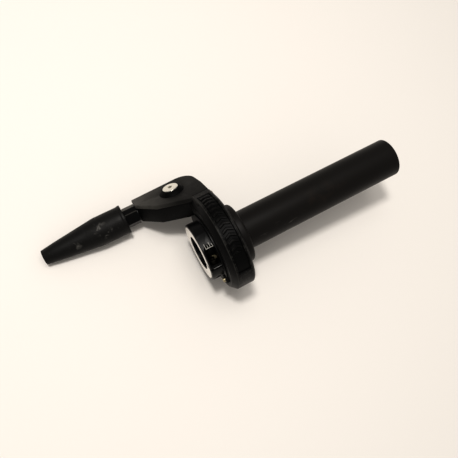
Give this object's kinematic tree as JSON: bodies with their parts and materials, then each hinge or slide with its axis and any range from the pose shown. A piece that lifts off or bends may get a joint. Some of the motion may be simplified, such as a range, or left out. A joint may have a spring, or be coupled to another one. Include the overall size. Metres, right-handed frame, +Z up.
{
  "type": "motorcycle throttle grip",
  "caption": "Quick-action twist throttle with a clamp collar, round drum case, side arm with a cable roller, screw adjuster, tapered rubber boot and bare twist tube.",
  "frame": {"origin": "centre of the handlebar clamp's bore, at the clamp's inboard face", "axes": "+X along the handlebar towards its end, +Y forwards, +Z up; the cable arm points forwards and its face leans 49 degrees forwards from level, as the throttle lies on a table"},
  "size_m": [0.229, 0.0848, 0.0618],
  "materials": {
    "collar_black": "black anodised, bare machined end face",
    "zinc_steel": "yellow zinc plated",
    "cast_black": "black coated casting, matte",
    "band_rubber": "satin black moulding",
    "plain_steel": "bare",
    "cover_black": "black, moulded",
    "bush_bronze": "turned bronze",
    "plate_grey": "matte dark grey",
    "washer_black": "black oxide",
    "nickel_steel": "nickel plated",
    "tube_black": "satin black, moulded",
    "drum_plastic": "natural acetal",
    "wiper_rubber": "black",
    "roller_metal": "turned",
    "adjuster_black": "black anodised",
    "boot_rubber": "matte black rubber"
  },
  "bodies": {
    "housing": {"clamp_hub": "collar_black", "clamp_screw": "zinc_steel", "hub_screws": "zinc_steel", "housing_body": "cast_black", "cover_band": "band_rubber", "stop_pin": "plain_steel", "outboard_cover": "cover_black", "outboard_bush": "bush_bronze", "case_through_screw": "zinc_steel", "case_screws": "zinc_steel", "arm_cover": "plate_grey", "axle_washer": "washer_black", "axle_screw": "nickel_steel", "axle_nut": "nickel_steel", "roller_bush": "bush_bronze"},
    "twist": {"throttle_tube": "tube_black", "cable_drum": "drum_plastic", "drum_set_screws": "plain_steel", "wiper_ring": "wiper_rubber"},
    "roller": {"roller": "roller_metal"},
    "boot": {"rubber_boot": "boot_rubber"},
    "adjuster": {"cable_adjuster": "adjuster_black"}
  },
  "joints": [
    {"name": "throttle_twist", "type": "hinge", "parent": "housing", "child": "twist", "pos_m": [0, 0, 0], "axis": [1, 0, 0], "range_deg": [0, 80]},
    {"name": "roller_spin", "type": "hinge", "parent": "housing", "child": "roller", "pos_m": [0.0036, 0.03807, -0.00904], "axis": [0, 0.7547, 0.6561], "continuous": true},
    {"name": "boot_slide", "type": "slide", "parent": "housing", "child": "boot", "axis": [-1, 0, 0], "range_m": [0, 0.006]},
    {"name": "adjuster_turn", "type": "hinge", "parent": "boot", "child": "adjuster", "pos_m": [-0.0215, 0.04404, -0.01591], "axis": [-1, 0, 0], "range_deg": [0, 2160]}
  ],
  "couplings": [
    {"joint": "adjuster_turn", "follows": "boot_slide", "rad_per_m": 6283.2}
  ]
}
